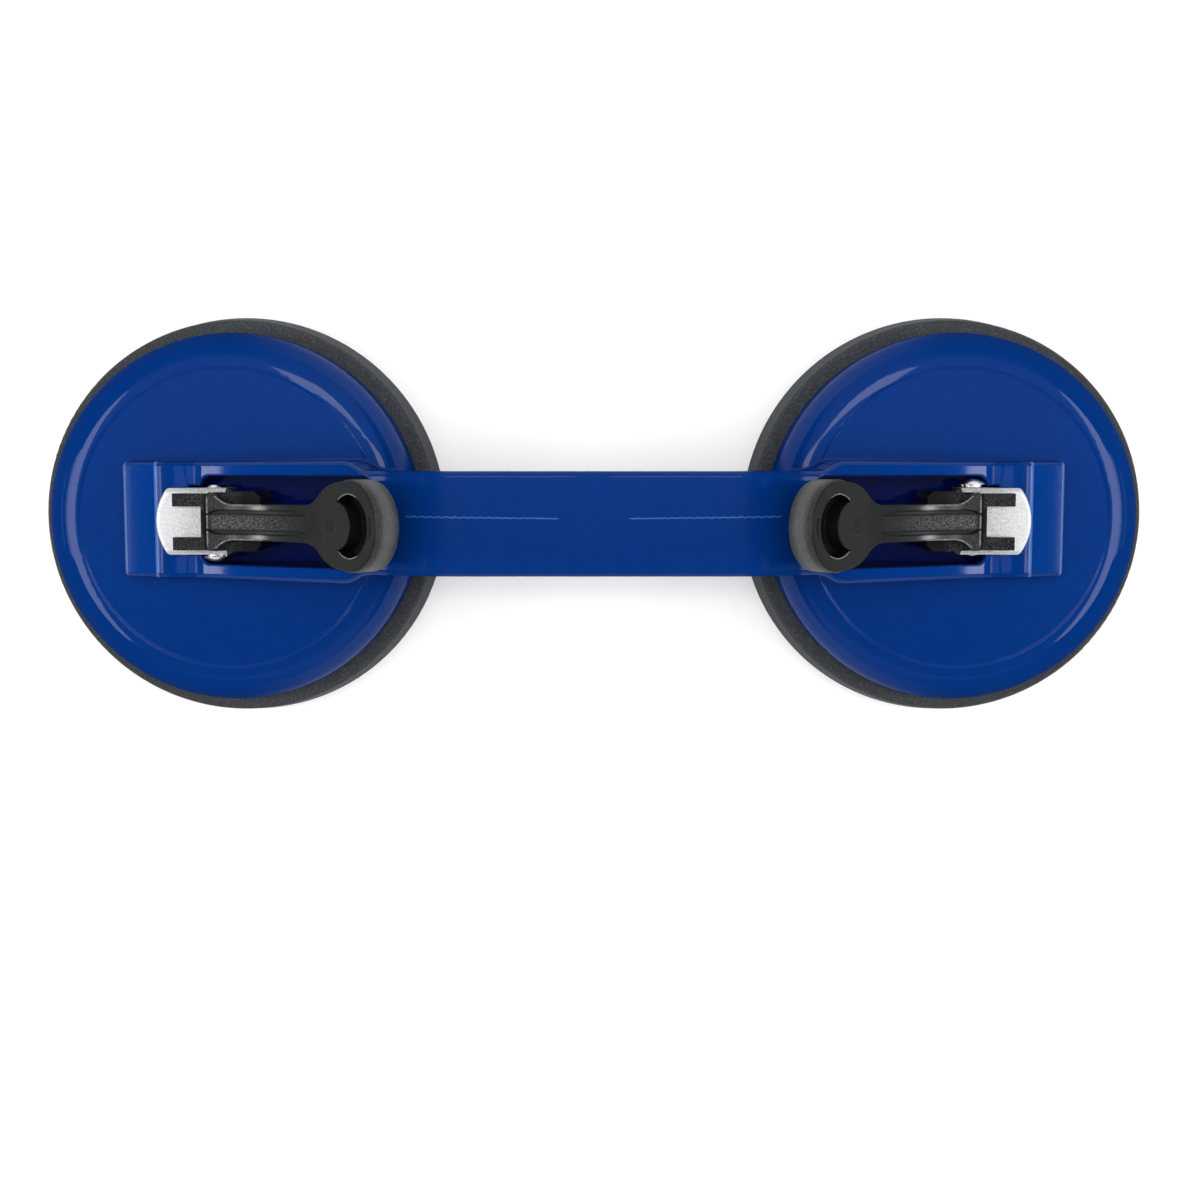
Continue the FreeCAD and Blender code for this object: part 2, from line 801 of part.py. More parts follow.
# Plastic lever: cam cheeks under the clip, prongs over it, an arm and a finger ring.

def arm_profile(sketch, sink=0):
    """Side view of the arm. With sink its top is lower by that much and starts at the bar."""
    top = clip_top + s.prong_height - sink
    end_height = s.pin_height + s.arm_end_rise
    slope_x = cosine(s.ring_tilt)
    slope_z = sine(s.ring_tilt)
    centre_z = s.pin_height + s.ring_rise
    under_x = s.arm_end_reach + s.ring_thickness * slope_z
    under_z = end_height - s.ring_thickness * slope_x
    bar_front = s.bar_length - s.prong_root
    start = bar_front if sink else -s.prong_root
    points = [
        (start, clip_top),
        (s.nose_reach, clip_top, s.arm_under_radius),
        (under_x, under_z),
        (s.ring_reach + s.ring_thickness * slope_z, centre_z - s.ring_thickness * slope_x),
        (s.ring_reach, centre_z - sink),
        (s.arm_end_reach, end_height - sink, -s.arm_top_radius),
        (bar_front, top),
    ]
    if not sink:
        points.append((start, top))
    outline(sketch, points)


def arm_margins(sketch):
    """What lies outside the plan of the arm between its root and the ring."""
    far = 2 * s.ring_radius
    back = s.clip_tail_reach
    flare = s.flare_reach - s.flare_start
    step = s.prong_outer - s.arm_half_width
    for side in (-1, 1):
        outline(sketch, [
            (-back, side * s.prong_outer),
            *ogee(s.flare_start, side * s.prong_outer, flare, step, s.flare_share, 1, -side),
            (s.flare_reach, side * s.arm_half_width),
            (s.web_reach, side * s.arm_half_width, side * s.web_radius),
            (s.web_end_reach, side * s.web_half_width, -side * s.brace_radius),
            (s.ring_reach, side * (s.ring_radius - s.ring_edge_radius)),
            (2 * s.ring_reach, side * (s.ring_radius - s.ring_edge_radius)),
            (2 * s.ring_reach, side * far),
            (-back, side * far),
        ])


def groove_plan(sketch):
    """The two grooves that leave a strip along the middle of the arm, pointed at both ends."""
    start = s.bar_length - s.prong_root
    width = s.groove_outer - s.groove_inner
    bend = (s.groove_lead * s.groove_lead + width * width) / (2 * width)
    for side in (-1, 1):
        outline(sketch, [
            (start, side * s.groove_inner),
            (s.groove_end_reach, side * s.groove_inner),
            (s.groove_end_reach - s.groove_lead, side * s.groove_outer),
            (start + s.groove_lead, side * s.groove_outer, side * bend),
        ])


def cheek_profile(sketch):
    """Hub, the flat that lies on the wear plate when the lever is up, and the cam."""
    lean = s.pull_stroke / s.cam_offset
    drop = root(1 - lean * lean)
    pin = s.pin_height
    cam_front = s.cam_offset + s.cam_radius
    step = s.clip_web_reach + s.free_gap
    outline(sketch, [
        (-hub_radius, pin, hub_radius),
        (-(hub_radius * lean), pin - hub_radius * drop),
        (s.cam_offset - s.cam_radius * lean, pin - s.cam_radius * drop, s.cam_radius),
        (cam_front, pin),
        (s.nose_reach, clip_top),
        (step, clip_top),
        (step, web_under),
        (-hub_radius, web_under),
    ])


def cheek_margins(sketch):
    """What lies outside the plan of the cheeks: narrow between the clip's ears, then a
    shoulder in front of each ear and a nose with its corners cut."""
    far = 2 * s.cheek_shoulder
    back = s.clip_tail_reach
    ear_front = s.clip_front_reach + s.free_gap
    front = 2 * s.nose_reach
    for side in (-1, 1):
        outline(sketch, [
            (-back, side * s.cheek_half_width),
            (ear_front, side * s.cheek_half_width),
            (ear_front, side * s.cheek_shoulder),
            (s.shoulder_reach, side * s.cheek_shoulder),
            (s.nose_start, side * s.cheek_nose),
            (s.nose_reach - s.nose_corner, side * s.cheek_nose),
            (s.nose_reach, side * (s.cheek_nose - s.nose_corner)),
            (front, side * (s.cheek_nose - s.nose_corner)),
            (front, side * far),
            (-back, side * far),
        ])


def ring_section(sketch):
    """Half of the ring's disc across its axis, with both rims rounded."""
    edge = s.ring_edge_radius
    outline(sketch, [
        (0, -s.ring_thickness),
        (s.ring_radius - edge, -s.ring_thickness, edge),
        (s.ring_radius, edge - s.ring_thickness),
        (s.ring_radius, -edge, edge),
        (s.ring_radius - edge, 0),
        (0, 0),
    ])


def ring_sketch(body, name):
    """A sketch in the plane of the ring's top face, with its origin at the ring's centre."""
    sketch = new_sketch(body, name, "XY_Plane")
    height = s.pin_height + s.ring_rise
    sketch.AttachmentOffset = FreeCAD.Placement(
        FreeCAD.Vector(s.ring_reach.number, 0, height.number),
        FreeCAD.Rotation(FreeCAD.Vector(0, -1, 0), s.ring_tilt.number))
    sketch.setExpression("AttachmentOffset.Base.x", s.ring_reach.text)
    sketch.setExpression("AttachmentOffset.Base.z", height.text)
    sketch.setExpression("AttachmentOffset.Rotation.Angle", s.ring_tilt.text)
    return sketch


def crescent(sketch):
    """The pocket in the ring, left open beside a tongue that grows from the arm."""
    outer = s.pocket_radius
    inner = s.tongue_radius
    centre = inner - s.tongue_tip
    cross_x = -((outer * outer - inner * inner + centre * centre) / (2 * centre))
    cross_y = root(outer * outer - cross_x * cross_x)
    outline(sketch, [
        (cross_x, -cross_y, outer),
        (0, -outer, outer),
        (outer, 0, outer),
        (0, outer, outer),
        (cross_x, cross_y, -inner),
        (s.tongue_tip, 0, -inner),
    ])


def lever(label):
    body = new_body(label)
    cheeks = new_sketch(body, "cheek_profile", "XZ_Plane")
    cheek_profile(cheeks)
    extrude(body, "Pad", "cheeks", cheeks, 2 * s.cheek_shoulder, both_ways=True)
    sides = new_sketch(body, "cheek_margins", "XY_Plane")
    cheek_margins(sides)
    extrude(body, "Pocket", "cheek_sides", sides, None, reverse=True)
    low_sides = new_sketch(body, "low_margins", "XY_Plane")
    for side in (-1, 1):
        rectangle(low_sides, 0, side * s.cheek_nose, 2 * s.nose_reach,
                  2 * side * s.cheek_shoulder)
    extrude(body, "Pocket", "shoulders_under", low_sides, s.pin_height + s.shoulder_rise,
            reverse=True)
    eye_slot = new_sketch(body, "eye_slot", "XZ_Plane")
    room = s.eye_radius + s.eye_slot_gap
    rectangle(eye_slot, -2 * s.cam_radius, s.pin_height - 2 * s.cam_radius,
              room, s.pin_height + room)
    extrude(body, "Pocket", "eye_slot_cut", eye_slot,
            s.eye_thickness + 2 * s.free_gap, both_ways=True)

    arm = new_sketch(body, "arm_side", "XZ_Plane")
    arm_profile(arm)
    extrude(body, "Pad", "arm", arm, 3 * s.ring_radius, both_ways=True)
    margins = new_sketch(body, "arm_margins", "XY_Plane", clip_top)
    arm_margins(margins)
    extrude(body, "Pocket", "arm_sides", margins, None, reverse=True)
    grooves = new_sketch(body, "groove_plan", "XY_Plane", clip_top)
    groove_plan(grooves)
    extrude(body, "Pocket", "groove_cut", grooves, None, reverse=True)
    floor = new_sketch(body, "groove_floor", "XZ_Plane")
    arm_profile(floor, s.groove_depth)
    extrude(body, "Pad", "floor", floor, s.groove_outer + s.arm_half_width, both_ways=True)

    prongs = new_sketch(body, "prong_plan", "XY_Plane", clip_top)
    for side in (-1, 1):
        rectangle(prongs, -s.prong_tip, side * s.prong_inner, -s.prong_root,
                  side * s.prong_outer)
    extrude(body, "Pad", "prongs", prongs, s.prong_height)

    ring = new_sketch(body, "ring_section", "XZ_Plane")
    ring.AttachmentOffset = FreeCAD.Placement(
        FreeCAD.Vector(s.ring_reach.number, (s.pin_height + s.ring_rise).number, 0),
        FreeCAD.Rotation(FreeCAD.Vector(0, 0, 1), s.ring_tilt.number))
    ring.setExpression("AttachmentOffset.Base.x", s.ring_reach.text)
    ring.setExpression("AttachmentOffset.Base.y", (s.pin_height + s.ring_rise).text)
    ring.setExpression("AttachmentOffset.Rotation.Angle", s.ring_tilt.text)
    ring_section(ring)
    spin(body, "Revolution", "ring", ring)
    pocket = ring_sketch(body, "ring_crescent")
    crescent(pocket)
    extrude(body, "Pocket", "ring_pocket", pocket, 2 * s.pocket_depth, both_ways=True)

    hole = new_sketch(body, "lever_hole", "XZ_Plane")
    circle(hole, 0, s.pin_height, pin_hole)
    extrude(body, "Pocket", "lever_holes", hole, 3 * s.cheek_half_width, both_ways=True)
    return body


# Rivet: domed head on one side, shank through clip, cheeks and eye, peened tail.

def pivot_rivet(label):
    body = new_body(label)
    section = new_sketch(body, "rivet_section", "XY_Plane", s.pin_height)
    head_top = washer_face + s.head_height
    dome = (s.head_radius * s.head_radius + s.head_height * s.head_height) / (2 * s.head_height)
    outline(section, [
        (0, -head_top, dome),
        (s.head_radius, -washer_face),
        (s.pin_radius, -washer_face),
        (s.pin_radius, s.clip_half_width),
        (s.tail_radius, s.clip_half_width),
        (s.pin_radius, s.clip_half_width + s.tail_height),
        (0, s.clip_half_width + s.tail_height),
    ])
    spin(body, "Revolution", "rivet", section)
    return body


def rivet_washer(label):
    body = new_body(label)
    section = new_sketch(body, "washer_section", "XY_Plane", s.pin_height)
    rectangle(section, pin_hole, -washer_face, s.washer_radius, -s.clip_half_width)
    spin(body, "Revolution", "washer", section)
    notch = new_sketch(body, "washer_notch", "XZ_Plane")
    circle(notch, 0, s.pin_height + s.washer_radius, s.washer_notch)
    pocket = extrude(body, "Pocket", "notch", notch, 4 * s.clip_half_width, both_ways=True)
    pattern = body.newObject("PartDesign::PolarPattern", "notches")
    pattern.Originals = [pocket]
    pattern.Axis = (section, ["V_Axis"])
    pattern.Angle = 360
    pattern.Occurrences = int(s.washer_teeth.number)
    body.Tip = pattern
    doc.recompute()
    return body


END_PIECES = {
    "suction_pad": suction_pad,
    "pad_plate": pad_plate,
    "draw_stem": draw_stem,
    "stem_bush": stem_bush,
    "wear_plate": wear_plate,
    "lever_clip": lever_clip,
    "lever": lever,
    "pivot_rivet": pivot_rivet,
    "rivet_washer": rivet_washer,
}

pieces = [handle_body()]
for side in ("left", "right"):
    for name, make in END_PIECES.items():
        pieces.append(set_at_end(make(f"{side}_{name}"), side))
doc.recompute()

for item in doc.Objects:
    if {"Invalid", "Error"} & set(item.State):
        raise RuntimeError(f"{item.Label} did not build: {item.State}")
for piece in pieces:
    if piece.Shape.isNull() or not piece.Shape.isValid():
        raise RuntimeError(f"{piece.Label} has no valid shape")
    if len(piece.Shape.Solids) != 1:
        raise RuntimeError(f"{piece.Label} is {len(piece.Shape.Solids)} solids, not one")
    piece.Shape.exportStep(f"parts/{piece.Label}.step")
    print(piece.Label, round(piece.Shape.Volume / 1000, 2), "cm3")
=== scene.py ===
import math

import bmesh
import bpy
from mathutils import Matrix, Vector
from mathutils.bvhtree import BVHTree


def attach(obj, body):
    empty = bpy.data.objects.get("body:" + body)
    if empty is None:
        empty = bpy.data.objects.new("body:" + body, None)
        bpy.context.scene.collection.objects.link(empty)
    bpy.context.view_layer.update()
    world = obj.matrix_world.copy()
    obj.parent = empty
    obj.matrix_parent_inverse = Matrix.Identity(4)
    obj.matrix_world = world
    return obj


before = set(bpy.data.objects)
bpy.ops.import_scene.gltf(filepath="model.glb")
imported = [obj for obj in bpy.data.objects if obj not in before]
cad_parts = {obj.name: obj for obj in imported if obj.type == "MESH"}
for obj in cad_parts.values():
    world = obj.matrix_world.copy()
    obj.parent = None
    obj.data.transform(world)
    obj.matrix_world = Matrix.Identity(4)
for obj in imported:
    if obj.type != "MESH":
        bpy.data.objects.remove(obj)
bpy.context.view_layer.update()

# A lifter for floor tiles: one blue casting with a rubber pad under each round cap and a
# small black lever on top of each. Lengths are metres. The pads' centres are at -END_X and
# END_X. On one end, out is the way from its centre to the nearer end of the lifter, and
# reach is the way from it to the middle of the handle.

END_X = 0.10325
ENDS = (("left", -1), ("right", 1))
PIN_Z = 0.0336

# the finger ring and its top face
RING_RADIUS = 0.0115
RING_REACH = 0.043
RING_Z = PIN_Z + 0.0369
RING_TILT = math.radians(44)

# the casting
CAP_TOP = 0.0226
CREST_RADIUS = 0.0454       # where the cap's crown turns over
BOSS_HALF = 0.0161          # half its width, and the same of the lever's slot in it
SLOT_HALF = 0.0121
RAMP_Z = 0.0352             # the ramp's line above the pad's centre
RAMP_FALL = 0.394           # how far that line falls per metre out


# Shader maths

class Wire:
    """A node's output. Expressions on it add Math nodes beside that node."""

    def __init__(self, home, socket):
        self.home = home
        self.socket = socket

    def math(self, operation, first, second):
        return self.home.node("ShaderNodeMath", {"operation": operation},
                              {0: first, 1: second})

    def __add__(self, other):
        return self.math("ADD", self, other)

    __radd__ = __add__

    def __sub__(self, other):
        return self.math("SUBTRACT", self, other)

    def __rsub__(self, other):
        return self.math("SUBTRACT", other, self)

    def __mul__(self, other):
        return self.math("MULTIPLY", self, other)

    __rmul__ = __mul__

    def __pow__(self, other):
        return self.math("POWER", self, other)

    def __rpow__(self, other):
        return self.math("POWER", other, self)

    def __abs__(self):
        return self.home.node("ShaderNodeMath", {"operation": "ABSOLUTE"}, {0: self})

    def between(self, low, high):
        """0 below low, 1 above high, smooth in the middle."""
        return self.home.node("ShaderNodeMapRange", {"interpolation_type": "SMOOTHSTEP"},
                              {"Value": self, "From Min": low, "From Max": high})

    def band(self, low, high, soft, fade=None):
        """0 outside low to high, 1 inside, rising over soft and falling over fade."""
        return self.between(low, low + soft) * self.between(high, high - (fade or soft))


class Nodes:
    """The nodes of one material, or of the world."""

    def __init__(self, owner, shader, place):
        owner.use_nodes = True
        self.owner = owner
        self.nodes = owner.node_tree.nodes
        self.links = owner.node_tree.links
        self.shader = self.nodes[shader]
        self.place = self.node("ShaderNodeTexCoord", output=place)

    def node(self, kind, settings=None, inputs=None, output=0):
        """Add a node: its settings first, then the values or links of its sockets."""
        node = self.nodes.new(kind)
        for name, value in (settings or {}).items():
            setattr(node, name, value)
        for name, value in (inputs or {}).items():
            if isinstance(value, Wire):
                self.links.new(value.socket, node.inputs[name])
            else:
                node.inputs[name].default_value = value
        return Wire(self, node.outputs[output])

    def set(self, **sockets):
        """Feed what varies over the surface to the shader."""
        for name, wire in sockets.items():
            self.links.new(wire.socket, self.shader.inputs[name.replace("_", " ").title()])

    def axis(self, name):
        """X, Y or Z of the place."""
        return self.node("ShaderNodeSeparateXYZ", None, {0: self.place}, name)

    def noise(self, size, detail=2.0, rough=0.5, place=None):
        """Cloudy pattern from 0 to 1 whose lumps are about size across, in metres."""
        return self.node("ShaderNodeTexNoise", None,
                         {"Vector": place or self.place, "Scale": 1 / size, "Detail": detail,
                          "Roughness": rough})

    def specks(self, size):
        """Distance from the middle of the nearest speck, 0 there and up to about 1."""
        return self.node("ShaderNodeTexVoronoi", None,
                         {"Vector": self.place, "Scale": 1 / size})

    def stretched(self, x, y, z):
        """The place on the piece with each axis scaled, for lumps longer one way."""
        return self.node("ShaderNodeVectorMath", {"operation": "MULTIPLY"},
                         {0: self.place, 1: (x, y, z)})

    def blend(self, share, first, second):
        """Colour that goes from first to second as share goes from 0 to 1."""
        first, second = ((*shade, 1) if isinstance(shade, tuple) else shade
                         for shade in (first, second))
        return self.node("ShaderNodeMix", {"data_type": "RGBA"},
                         {0: share, 6: first, 7: second}, 2)

    def relief(self, height, depth, edge=0.0):
        """Bump from a height of 0 to 1 that stands for depth in metres."""
        inputs = {"Height": height, "Distance": depth, "Strength": 1.0}
        if edge:
            inputs["Normal"] = self.node("ShaderNodeBevel", {"samples": 6}, {"Radius": edge})
        self.set(normal=self.node("ShaderNodeBump", None, inputs))


class Finish(Nodes):
    """A procedural material. Keywords are constants set on the shader's own sockets."""

    def __init__(self, name, **constants):
        super().__init__(bpy.data.materials.new(name), "Principled BSDF", "Object")
        self.material = self.owner
        for socket, value in constants.items():
            label = socket.replace("_", " ").title().replace("Ior", "IOR")
            self.shader.inputs[label].default_value = value


def blue_paint():
    """Gloss paint with sags and orange peel, a painted highlight on the boss's two cross
    corners and painted shade in the lever's slot.
    """
    paint = Finish("blue_gloss_paint", specular_ior_level=0.0, coat_roughness=0.04)
    out = abs(paint.axis("X")) - END_X
    across = abs(paint.axis("Y"))
    height = paint.axis("Z")
    radius = (out ** 2 + across ** 2) ** 0.5
    # duller: the cap's outer rim, the foot of the ramp, and the neck where the grip starts
    rim = radius.between(CREST_RADIUS, CREST_RADIUS + 0.001) * out.between(-0.035, 0.0)
    foot = out.band(0.0062, 0.0152, 0.0006, 0.001) \
        * across.between(BOSS_HALF + 0.0017, BOSS_HALF + 0.0009) * height.between(0.03, 0.031)
    neck = out.band(-0.066, -0.0485, 0.004, 0.002)
    # painted highlight: the boss's two rounded corners that run across the lifter are painted
    # paler and given more coat
    brow = out.band(0.0266, 0.0281, 0.0004)
    ledge = out.band(0.0169, 0.018, 0.0003)
    edge_highlight_mask = (brow + ledge) * across.between(BOSS_HALF + 0.0005, BOSS_HALF - 0.0003) \
        * height.between(0.0266, 0.0272)
    # painted shade: the walls and floor of the lever's slot are painted darker
    below_ramp = RAMP_Z - RAMP_FALL * out - height
    slot = below_ramp.between(0.0008, 0.003) \
        * across.between(SLOT_HALF + 0.0015, SLOT_HALF + 0.0007) \
        * out.band(-0.049, 0.0095, 0.001, 0.0008) \
        * height.between(CAP_TOP - 0.0001, CAP_TOP + 0.001)
    cloud = paint.noise(0.045, 3)
    mottle = paint.noise(0.004, 3)
    grain = paint.noise(0.0007, 2)
    sag = paint.noise(1.0, 3, 0.5, paint.stretched(9, 330, 120))
    deep = paint.blend(cloud * 0.6 + mottle * 0.15 + sag * 0.25, (0.0006, 0.0255, 0.166),
                       (0.0014, 0.0315, 0.186))
    deep = paint.blend(grain.between(0.62, 0.8) * 0.25, deep, (0.003, 0.04, 0.22))
    # painted highlight: paler blue on the boss's two cross corners
    deep = paint.blend(edge_highlight_mask * (0.35 + 0.2 * mottle), deep, (0.12, 0.25, 0.6))
    # painted shade: the slot's walls and floor are darkened towards navy
    paint.set(base_color=paint.blend(slot * 0.85, deep, (0.0004, 0.003, 0.085)),
              roughness=0.22 + 0.1 * mottle, metallic=0.1 * (1 - rim) * (1 - neck),
              coat_weight=(0.3 - 0.28 * rim) * (1 - 0.85 * foot) * (1 - 0.95 * neck)
              + 0.4 * edge_highlight_mask)
    peel = paint.noise(0.0042, 2)
    paint.relief(peel * 0.85 + grain * 0.15, 0.00005, edge=0.0004)
    return paint.material


def parting_line_highlight_paint():
    """The same paint, painted lighter over the parting line as a painted highlight."""
    paint = Finish("parting_line_painted_highlight", specular_ior_level=0.0, coat_roughness=0.1)
    grain = paint.noise(0.0009, 3)
    paint.set(base_color=paint.blend(grain, (0.012, 0.06, 0.27), (0.05, 0.14, 0.42)),
              roughness=0.35 + 0.2 * grain, coat_weight=0.2 + 0.2 * grain)
    paint.relief(grain, 0.00002)
    return paint.material


def pad_rubber():
    rubber = Finish("moulded_rubber", specular_ior_level=0.3)
    cloud = rubber.noise(0.02, 3)
    grain = rubber.noise(0.0006, 4, 0.7)
    fleck = rubber.specks(0.0011)
    tone = rubber.blend(cloud, (0.022, 0.0255, 0.029), (0.033, 0.037, 0.0415))
    tone = rubber.blend(grain.between(0.45, 0.72) * 0.65, tone, (0.085, 0.09, 0.097))
    rubber.set(base_color=rubber.blend(fleck.between(0.3, 0.05) * 0.4, tone,
                                       (0.14, 0.145, 0.15)),
               roughness=0.55 + 0.2 * grain + 0.08 * cloud)
    rubber.relief(grain * 0.7 + (1 - fleck) * 0.3, 0.00011, edge=0.0005)
    return rubber.material


def lever_plastic():
    """Black plastic, grained on the arm, with painted reflections on the arm's strip and on
    the finger ring's wall, and painted shade behind the bar.
    """
    plastic = Finish("black_moulded_plastic", specular_ior_level=0.1, coat_roughness=0.16)
    reach = END_X - abs(plastic.axis("X"))
    across = abs(plastic.axis("Y"))
    along = (reach - RING_REACH) * math.cos(RING_TILT) \
        + (plastic.axis("Z") - RING_Z) * math.sin(RING_TILT)
    depth = (reach - RING_REACH) * math.sin(RING_TILT) \
        - (plastic.axis("Z") - RING_Z) * math.cos(RING_TILT)
    # the ring's wall on the side of the grip, painted paler as a painted reflection, brightest
    # in the middle of its thickness
    wall = ((along ** 2 + across ** 2) ** 0.5).between(RING_RADIUS - 0.0004,
                                                       RING_RADIUS - 0.0001) \
        * along.between(-0.004, 0.002)
    painted_sheen_band = depth.band(0.001, 0.0068, 0.002, 0.0026)
    # the arm: its polished flanks, the corner behind the bar, painted as painted shade, the
    # grained strip between its grooves, whose pale grain is partly a painted reflection that
    # fades towards the ring, and the grained gussets beside it
    flank = across.band(0.003, 0.0046, 0.0006, 0.0003) * reach.band(0.005, 0.0195, 0.005)
    painted_crease_shade = reach.band(0.0, 0.0007, 0.0002)
    strip = across.between(0.0026, 0.0013) * reach.band(0.001, 0.033, 0.002, 0.019)
    painted_reflection_fade = 1.25 - 25 * reach
    gusset = across.between(0.0028, 0.004) * reach.between(0.0105, 0.0075)
    cloud = plastic.noise(0.007, 3)
    grain = plastic.noise(0.0005, 3, 0.6)
    spark = plastic.noise(0.00042, 3, 0.75)
    streaks_and_sheen = plastic.noise(1.0, 4, 0.7, plastic.stretched(2400, 260, 2400))
    tone = plastic.blend(cloud, (0.003, 0.0032, 0.0036), (0.0085, 0.009, 0.0098))
    tone = plastic.blend(grain.between(0.55, 0.75) * 0.3, tone, (0.035, 0.036, 0.038))
    # grain and painted reflection: the strip's grain is painted pale, fading towards the ring
    tone = plastic.blend(strip * spark.between(0.4, 0.66) * painted_reflection_fade, tone,
                         (0.13, 0.133, 0.14))
    tone = plastic.blend(gusset * spark.between(0.42, 0.7) * 0.6, tone, (0.09, 0.092, 0.096))
    # painted reflection: the ring's wall is paler, most in its middle band and along the
    # streaks
    tone = plastic.blend(wall * (0.2 + 0.5 * painted_sheen_band + 0.3 * streaks_and_sheen.between(0.45, 0.7)),
                         tone, (0.12, 0.122, 0.126))
    # painted shade: the corner where the arm meets the bar is painted almost black
    tone = plastic.blend(painted_crease_shade, tone, (0.001, 0.001, 0.001))
    plastic.set(base_color=tone, coat_weight=flank * (0.55 + 0.45 * spark),
                roughness=0.2 + 0.1 * grain + 0.08 * cloud + 0.2 * strip.between(0.0, 0.3)
                + 0.15 * wall)
    plastic.relief(grain * 0.3 + spark * (0.15 + 0.85 * strip) * 0.5 + streaks_and_sheen * wall * 0.2,
                   0.00005, edge=0.0005)
    return plastic.material


def edge_highlight_plastic():
    """The same plastic, painted pale on raised ridges as a painted highlight."""
    plastic = Finish("plastic_painted_edge_highlight", specular_ior_level=0.3)
    grain = plastic.noise(0.0006, 3, 0.7)
    tone = plastic.blend(grain.between(0.3, 0.7), (0.05, 0.051, 0.053), (0.24, 0.243, 0.25))
    plastic.set(base_color=tone, roughness=0.25 + 0.2 * grain)
    plastic.relief(grain, 0.00003)
    return plastic.material


def clip_steel():
    steel = Finish("rolled_clip_steel", metallic=1.0)
    out = abs(steel.axis("X")) - END_X
    cloud = steel.noise(0.006, 2)
    grain = steel.noise(0.00055, 4, 0.8)
    painted_tail_highlight = out.between(0.0, 0.012)
    tone = steel.blend(grain.between(0.3, 0.7), (0.27, 0.27, 0.275), (0.68, 0.68, 0.69))
    # painted highlight: the steel is painted lighter towards the clip's outer end
    tone = steel.blend(painted_tail_highlight * 0.45 + cloud * 0.1, tone, (0.85, 0.85, 0.86))
    steel.set(base_color=tone, roughness=0.3 + 0.25 * grain + 0.06 * cloud)
    steel.relief(grain, 0.00007, edge=0.00035)
    return steel.material


def zinc_steel():
    zinc = Finish("plated_rivet_steel", metallic=1.0)
    cloud = zinc.noise(0.0035, 3)
    grain = zinc.noise(0.0004, 3)
    tone = zinc.blend(cloud, (0.62, 0.59, 0.52), (0.82, 0.8, 0.75))
    zinc.set(base_color=tone, roughness=0.13 + 0.16 * cloud + 0.08 * grain)
    zinc.relief(grain * 0.5 + cloud * 0.5, 0.000012, edge=0.0002)
    return zinc.material


def wear_steel():
    steel = Finish("dark_wear_steel", metallic=0.85)
    cloud = steel.noise(0.004, 3)
    grain = steel.noise(0.0004, 3)
    # painted shade: the wear plate is painted nearly black, as it lies in the shade of the
    # lever's slot
    tone = steel.blend(cloud * 0.6 + grain * 0.4, (0.03, 0.032, 0.036), (0.09, 0.092, 0.1))
    steel.set(base_color=tone, roughness=0.4 + 0.2 * grain)
    steel.relief(grain, 0.00001)
    return steel.material


def bush_plastic():
    nylon = Finish("bush_nylon", specular_ior_level=0.4)
    cloud = nylon.noise(0.005, 3)
    grain = nylon.noise(0.0005, 2)
    nylon.set(base_color=nylon.blend(cloud, (0.5, 0.49, 0.44), (0.62, 0.61, 0.56)),
              roughness=0.42 + 0.15 * grain)
    nylon.relief(grain, 0.00001)
    return nylon.material


PLATED_STEEL = zinc_steel()
BLACK_PLASTIC = lever_plastic()
EDGE_HIGHLIGHT_PLASTIC = edge_highlight_plastic()
PARTING_LINE_HIGHLIGHT = parting_line_highlight_paint()
FINISHES = {
    "handle_body": blue_paint(),
    "suction_pad": pad_rubber(),
    "pad_plate": PLATED_STEEL,
    "draw_stem": PLATED_STEEL,
    "stem_bush": bush_plastic(),
    "wear_plate": wear_steel(),
    "lever_clip": clip_steel(),
    "lever": BLACK_PLASTIC,
    "pivot_rivet": PLATED_STEEL,
    "rivet_washer": PLATED_STEEL,
}

for name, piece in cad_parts.items():
    kind = name.removeprefix("left_").removeprefix("right_")
    for slot in piece.material_slots:
        slot.material = FINISHES[kind]


# Small marks of the moulds, too fine for the solids; several are painted pale as painted
# highlights

SEARCH_STEP = 0.00005


def steps(count):
    """Even shares from 0 to 1, both included."""
    return [i / (count - 1) for i in range(count)]


def surface(node):
    """The piece's surface, to set marks on."""
    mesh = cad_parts[node].data
    return BVHTree.FromPolygons([point.co for point in mesh.vertices],
                                [face.vertices for face in mesh.polygons])


def seat(skin, x, y):
    """Where a plumb line at x, y first meets the piece, and the way its surface faces."""
    overhead = Vector((x, y, 0.2))      # above every piece
    place, facing, _, _ = skin.ray_cast(overhead, Vector((0, 0, -1)))
    return place, facing


def smooth_piece(name, shape, finish):
    """The finished shape as an object in the scene."""
    mesh = bpy.data.meshes.new(name)
    shape.to_mesh(mesh)
    shape.free()
    mesh.polygons.foreach_set("use_smooth", [True] * len(mesh.polygons))
    mesh.materials.append(finish)
    piece = bpy.data.objects.new(name, mesh)
    bpy.context.collection.objects.link(piece)
    return piece


